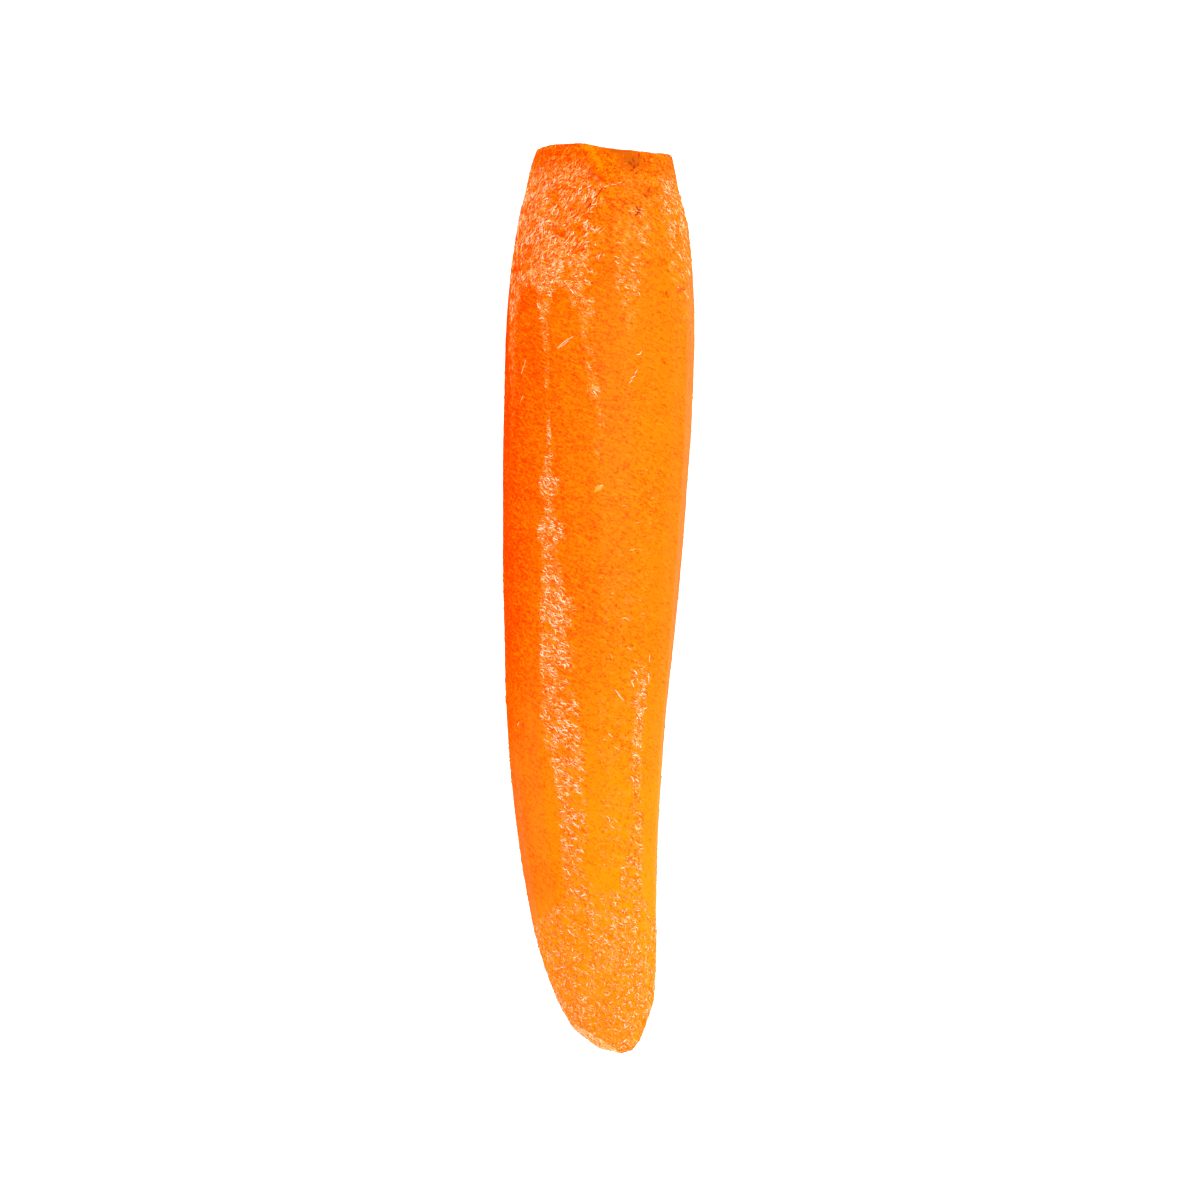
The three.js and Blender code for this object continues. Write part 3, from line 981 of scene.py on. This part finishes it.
def peeled_flesh():
    """Wet orange flesh that the peeler laid bare, with scuffed bands of short dried fibres."""
    finish = Finish(
        "peeled_flesh", Specular_IOR_Level=0, Coat_IOR=1.35, Coat_Roughness=0.28,
        Subsurface_Weight=0.06, Subsurface_Radius=FLESH_DEPTHS, Subsurface_Scale=MM,
    )
    skin = finish.node("ShaderNodeUVMap", {"uv_map": "skin"})
    across = finish.node("ShaderNodeSeparateXYZ", {}, {0: skin})
    down = across.out("Y")
    scuff, rises, shade_and_flush = (finish.painted(name) for name in ("scuff", "rises", "shade_and_flush"))

    # Speckled flesh: golden low on the right, partly as painted light, and red where the flush is
    # strong, which on the left flank is painted shade
    broad = finish.grain(across, down, (9, 6), -30, 1.7)
    mottle = finish.grain(across, down, (1.5, 0.6), -24, 2.9, 3, 0.5)
    pimples = finish.grain(across, down, (0.46, 0.36), -24, 7.7, 3, 0.8)
    streaks = finish.grain(across, down, (2.0, 0.3), -25, 4.1, 2, 0.6)
    drag = finish.grain(across, down, (0.35, 26), 0, 6.3, 2)
    uneven = 0.6 + scuff + down.eased(24, 3) - down.eased(85, 150, 0, 0.2)
    golden_and_lit = down.eased(80, 145) * shade_and_flush.eased(0.4, 0.05)
    red = shade_and_flush + (broad - 0.5) * 0.6 + ((mottle - 0.5) * 2.4 + (pimples - 0.5) * 4.6) * uneven
    colour = finish.blend(golden_and_lit, YELLOW_FLESH, GOLDEN_LIT_FLESH)
    colour = finish.blend(red, colour, RED_FLESH)
    colour = finish.blend(streaks.eased(0.54, 0.70, 0, 0.38), colour, PALE_FLESH)
    # Crumbs and wrinkles next to the crown slice; the crumbs' gold is painted highlights
    crumb_highlights = finish.grain(across, down, (0.9, 0.6), 35, 19.3, 3, 1.0)
    colour = finish.blend(crumb_highlights.eased(0.52, 0.62) * down.eased(15, 4, 0, 0.6), colour, GOLDEN_LIT_FLESH)
    wrinkles = abs(finish.grain(across, down, (1.3, 0.6), 24, 23.1, 3, 1.4) - 0.5)
    colour = finish.blend(wrinkles.eased(0.04, 0.012) * down.eased(12, 4, 0, 0.75), colour, RED_BROWN)

    # Scuffed bands: dried fibres, painted shade in the gaps between them, and ripples round them
    falling_fibres = finish.grain(across, down, (1.5, 0.6), -28, 8.2, 2, 0.8)
    rising_fibres = finish.grain(across, down, (1.5, 0.6), 52, 9.4, 2, 0.8)
    fibre_noise = abs(falling_fibres + rises * (rising_fibres - falling_fibres) - 0.5)
    fibre = fibre_noise.eased(0.05, 0.02)
    tuft = finish.grain(across, down, (1.3, 0.8), -28, 11.6, 2)
    dry_colour = finish.blend(down.eased(2.5, 7), YELLOW_FLESH, DRY_FLESH)
    dry_colour = finish.blend(down.eased(*TIP_STARTS, 0, 0.5), dry_colour, DRY_TIP_FLESH)
    dry = fibre * scuff.eased(0.08, 0.7) * tuft.eased(0.36, 0.60, 0.1, 1)
    gap_shade = fibre_noise.eased(0.04, 0.10) * scuff.eased(0.15, 0.8) * tuft.eased(0.65, 0.4, 0.6, 1)
    colour = finish.blend(scuff.eased(0.05, 0.7, 0, 0.32) * down.eased(2.5, 8), colour, PALE_FLESH)
    ripples = finish.grain(across, down, (2.2, 0.75), -10, 25.6, 3, 2.2)
    crests = ripples.eased(0.55, 0.68) * scuff.eased(0.02, 0.14, 0, 0.55)
    colour = finish.blend(crests, colour, PALE_FLESH)
    hollows = ripples.eased(0.45, 0.32) * scuff.eased(0.02, 0.14, 0, 0.22)
    colour = finish.blend(hollows, colour, RED_FLESH)
    # The deep red of the gaps is painted shade between the fibres
    colour = finish.blend(gap_shade * (0.6 + 0.35 * rises - down.eased(130, 150, 0, 0.3)), colour, GAP_SHADE_FLESH)
    # Torn flats of the tip, pale, their palest patches partly painted highlights, with the fibres on
    # top
    place = finish.node("ShaderNodeTexCoord").out("Object")
    torn = finish.node("ShaderNodeTexNoise", {}, {"Vector": place, "Scale": 1300, "Detail": 3})
    trimmed = finish.painted("trimmed")
    colour = finish.blend(trimmed * torn.eased(0.43, 0.53, 0.1, 0.95), colour, DRY_FLESH)
    colour = finish.blend(trimmed * torn.eased(0.52, 0.60, 0, 0.85), colour, TORN_FLESH_AND_HIGHLIGHT)
    colour = finish.blend(dry, colour, dry_colour)

    specks = finish.grain(across, down, (0.3, 0.24), -24, 13.9, 2, 0.8)
    colour = stained_and_highlighted(finish, skin, specks, mottle, colour)
    roughness = 0.44 + 0.30 * scuff + 0.10 * (mottle - 0.5) + 0.18 * dry
    height = 0.2 * streaks + 0.6 * dry + 0.1 * drag + 0.3 * mottle + 0.5 * pimples
    height = height * (1 - trimmed) + 0.7 * torn * trimmed
    wet = shade_and_flush.eased(0.55, 0.2) * scuff.eased(0.5, 0.05)
    finish.feed(finish.surface.inputs["Coat Weight"], 0.10 * wet)
    finish.lay(colour, roughness, height, 0.3 * MM)
    return finish.material


def sliced_crown():
    """The cut face: orange outer flesh, a thin pale ring, and a yellower core with rays."""
    finish = Finish(
        "sliced_crown", Specular_IOR_Level=0.3,
        Subsurface_Weight=0.12, Subsurface_Radius=FLESH_DEPTHS, Subsurface_Scale=MM,
    )
    place = finish.node("ShaderNodeTexCoord").out("Object")
    middle = tuple(SLICE_MIDDLE)
    from_middle = finish.node("ShaderNodeVectorMath", {"operation": "SUBTRACT"}, {0: place, 1: middle})
    inputs = {0: from_middle, 1: (1, 0, 1)}
    flat = finish.node("ShaderNodeVectorMath", {"operation": "MULTIPLY"}, inputs)
    way = finish.node("ShaderNodeVectorMath", {"operation": "NORMALIZE"}, {0: flat})
    share = finish.painted("ring_share")
    spread = finish.node("ShaderNodeVectorMath", {"operation": "SCALE"}, {0: way, "Scale": 11})
    inward = finish.node("ShaderNodeCombineXYZ", {}, {1: share * 1.6})
    along_rays = finish.node("ShaderNodeVectorMath", {"operation": "ADD"}, {0: spread, 1: inward})
    rays = finish.node("ShaderNodeTexNoise", {}, {"Vector": along_rays, "Scale": 1, "Detail": 3})
    speckle = finish.node("ShaderNodeTexNoise", {}, {"Vector": place, "Scale": 2600, "Detail": 3})
    cloud = finish.node("ShaderNodeTexNoise", {}, {"Vector": place, "Scale": 260, "Detail": 2})
    ring = share + (cloud - 0.5) * 0.10
    core = ring.eased(0.60, 0.52)
    pale_ring = ring.eased(0.50, 0.57) * ring.eased(0.66, 0.60)
    colour = finish.blend(core, ORANGE_FLESH, YELLOW_FLESH)
    colour = finish.blend(pale_ring * 0.75, colour, PALE_FLESH)
    colour = finish.blend(core * rays.eased(0.48, 0.66, 0, 0.7), colour, PALE_FLESH)
    colour = finish.blend((1 - core) * rays.eased(0.52, 0.40, 0, 0.5), colour, RED_FLESH)
    colour = finish.blend(speckle.eased(0.56, 0.70, 0, 0.35), colour, DRY_FLESH)
    colour = finish.blend(ring.eased(0.12, 0.03, 0, 0.6), colour, DRY_FLESH)
    colour = finish.blend(ring.eased(0.94, 1.02, 0, 0.35) * cloud.eased(0.45, 0.6), colour, BROWN)
    roughness = 0.5 + 0.25 * speckle
    height = 0.5 * speckle + 0.6 * rays + 0.8 * pale_ring
    finish.lay(colour, roughness, height, 0.2 * MM)
    return finish.material


def dried_curl():
    """Short curls of flesh that the peeler raised: orange at the root, dried to a pale pink on top."""
    finish = Finish(
        "dried_curl", Specular_IOR_Level=0.05,
        Subsurface_Weight=0.06, Subsurface_Radius=CURL_DEPTHS, Subsurface_Scale=MM,
    )
    place = finish.node("ShaderNodeTexCoord").out("Object")
    speckle = finish.node("ShaderNodeTexNoise", {}, {"Vector": place, "Scale": 2200, "Detail": 2})
    dryness, shade = finish.painted("dryness"), finish.painted("shade")
    pale = dryness * (0.25 + 1.05 * shade) + (speckle - 0.5) * 0.4
    colour = finish.blend(pale.eased(0, 0.4), ORANGE_FLESH, PALE_FLESH)
    colour = finish.blend(pale.eased(0.3, 0.6), colour, DRY_FLESH)
    colour = finish.blend(pale.eased(0.5, 1.0), colour, DRIED_CURL)
    finish.lay(colour, 0.62 + 0.2 * speckle, speckle, 0.08 * MM)
    return finish.material


# ---------------------------------------------------------------- table, light and camera

TABLE_SIZE = 1.2
CAMERA_HEIGHT = 1.2
CAMERA_WIDTH = 0.2253  # metres of table that the camera sees across
CAMERA_X = 0.28 * MM
CAMERA_Y = -0.28 * MM
MID_HEIGHT = 17 * MM
SENSOR_WIDTH = 36
TABLE_GLOW = 1.2
SKY_STRENGTH = 1.12


def pale_table():
    bpy.ops.mesh.primitive_plane_add(size=TABLE_SIZE, location=(0, 0, 0))
    table = bpy.context.object
    table.name = table.data.name = "pale_table"
    finish = Finish(
        "pale_table", Specular_IOR_Level=0.1, Emission_Color=(1, 1, 1, 1), Emission_Strength=TABLE_GLOW
    )
    place = finish.node("ShaderNodeTexCoord").out("Object")
    cloud = finish.node("ShaderNodeTexNoise", {}, {"Vector": place, "Scale": 30, "Detail": 3})
    colour = finish.blend(cloud, (0.44, 0.44, 0.44), (0.46, 0.46, 0.46))
    finish.lay(colour, 0.8 + 0.02 * cloud, cloud, 0.01 * MM)
    table.data.materials.append(finish.material)
    return table


def soft_light(name, size, power, place):
    """A large square lamp that faces the carrot's middle."""
    bpy.ops.object.light_add(type="AREA", location=place)
    lamp = bpy.context.object
    lamp.name = name
    lamp.data.size = size
    lamp.data.energy = power
    toward = Vector((0, 0, MID_HEIGHT)) - Vector(place)
    lamp.rotation_euler = toward.to_track_quat("-Z", "Y").to_euler()
    lamp.visible_camera = False


def light_studio():
    world = bpy.data.worlds.new("studio")
    world.use_nodes = True
    world.node_tree.nodes["Background"].inputs["Color"].default_value = (1, 1, 1, 1)
    world.node_tree.nodes["Background"].inputs["Strength"].default_value = SKY_STRENGTH
    bpy.context.scene.world = world
    soft_light("upper_right_light", 1.0, 8, (0.55, 0.25, 0.95))
    bpy.context.scene.view_settings.view_transform = "Standard"


def aim_camera():
    """Looks straight down, with the crown at the top of the picture."""
    place = (CAMERA_X, CAMERA_Y, MID_HEIGHT + CAMERA_HEIGHT)
    bpy.ops.object.camera_add(location=place, rotation=(0, 0, 0))
    camera = bpy.context.object
    camera.data.sensor_width = SENSOR_WIDTH
    camera.data.lens = SENSOR_WIDTH * CAMERA_HEIGHT / CAMERA_WIDTH
    bpy.context.scene.camera = camera


# ---------------------------------------------------------------- putting it together

root = model_root()
rough_up(root)
lay_out_skin(root)
curls = lay_curls(root)
root.data.materials.append(peeled_flesh())
root.data.materials.append(sliced_crown())
curl_finish = dried_curl()
for piece in curls:
    piece.data.materials.append(curl_finish)
for piece in (root, *curls):
    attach(piece, "root")
    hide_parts("carrot")

table = pale_table()
light_studio()
aim_camera()
